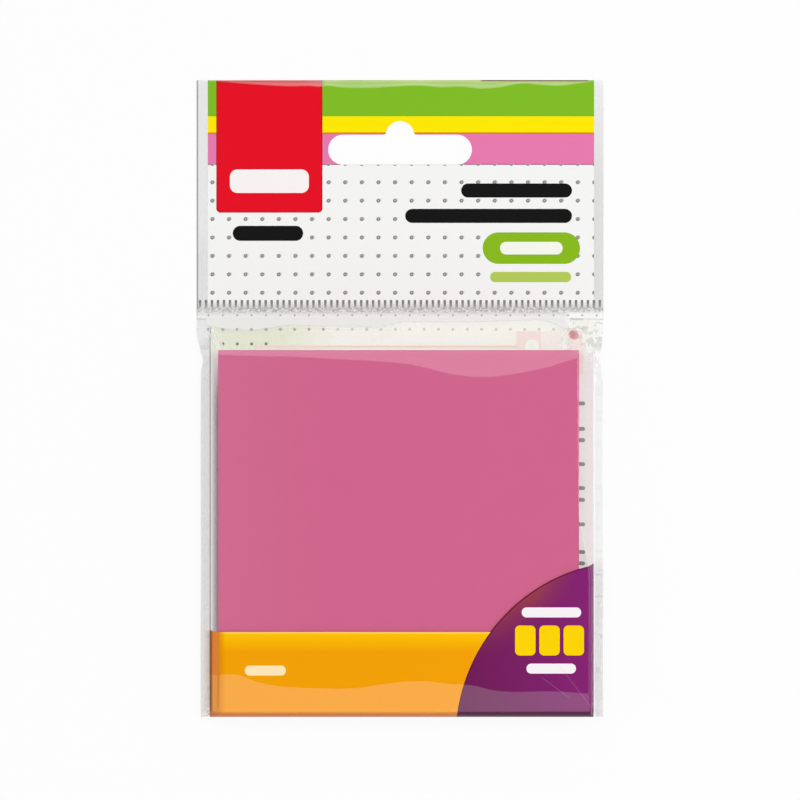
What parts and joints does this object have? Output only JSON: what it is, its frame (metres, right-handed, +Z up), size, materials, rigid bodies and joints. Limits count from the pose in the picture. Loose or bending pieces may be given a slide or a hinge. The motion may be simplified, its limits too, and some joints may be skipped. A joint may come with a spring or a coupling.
{
  "type": "sticky note pad",
  "caption": "Square pad of pink sticky notes sealed in a clear film hang bag with a printed header and a round-ended hang slot.",
  "frame": {"origin": "under the middle of the whole pack, on the surface that it lies on", "axes": "+X across the pack to the right of its printed front, +Y from the bottom fold towards the hang slot, +Z up through the thickness, out of the printed front"},
  "size_m": [0.0866, 0.1352, 0.0083],
  "materials": {
    "note_paper": "matt",
    "release_liner": "smooth",
    "clear_film": "gloss",
    "printed_film": "gloss"
  },
  "bodies": {
    "root": {"note_sheets": "note_paper", "backing_sheet": "release_liner", "pouch": "clear_film", "header": "printed_film"}
  },
  "joints": []
}
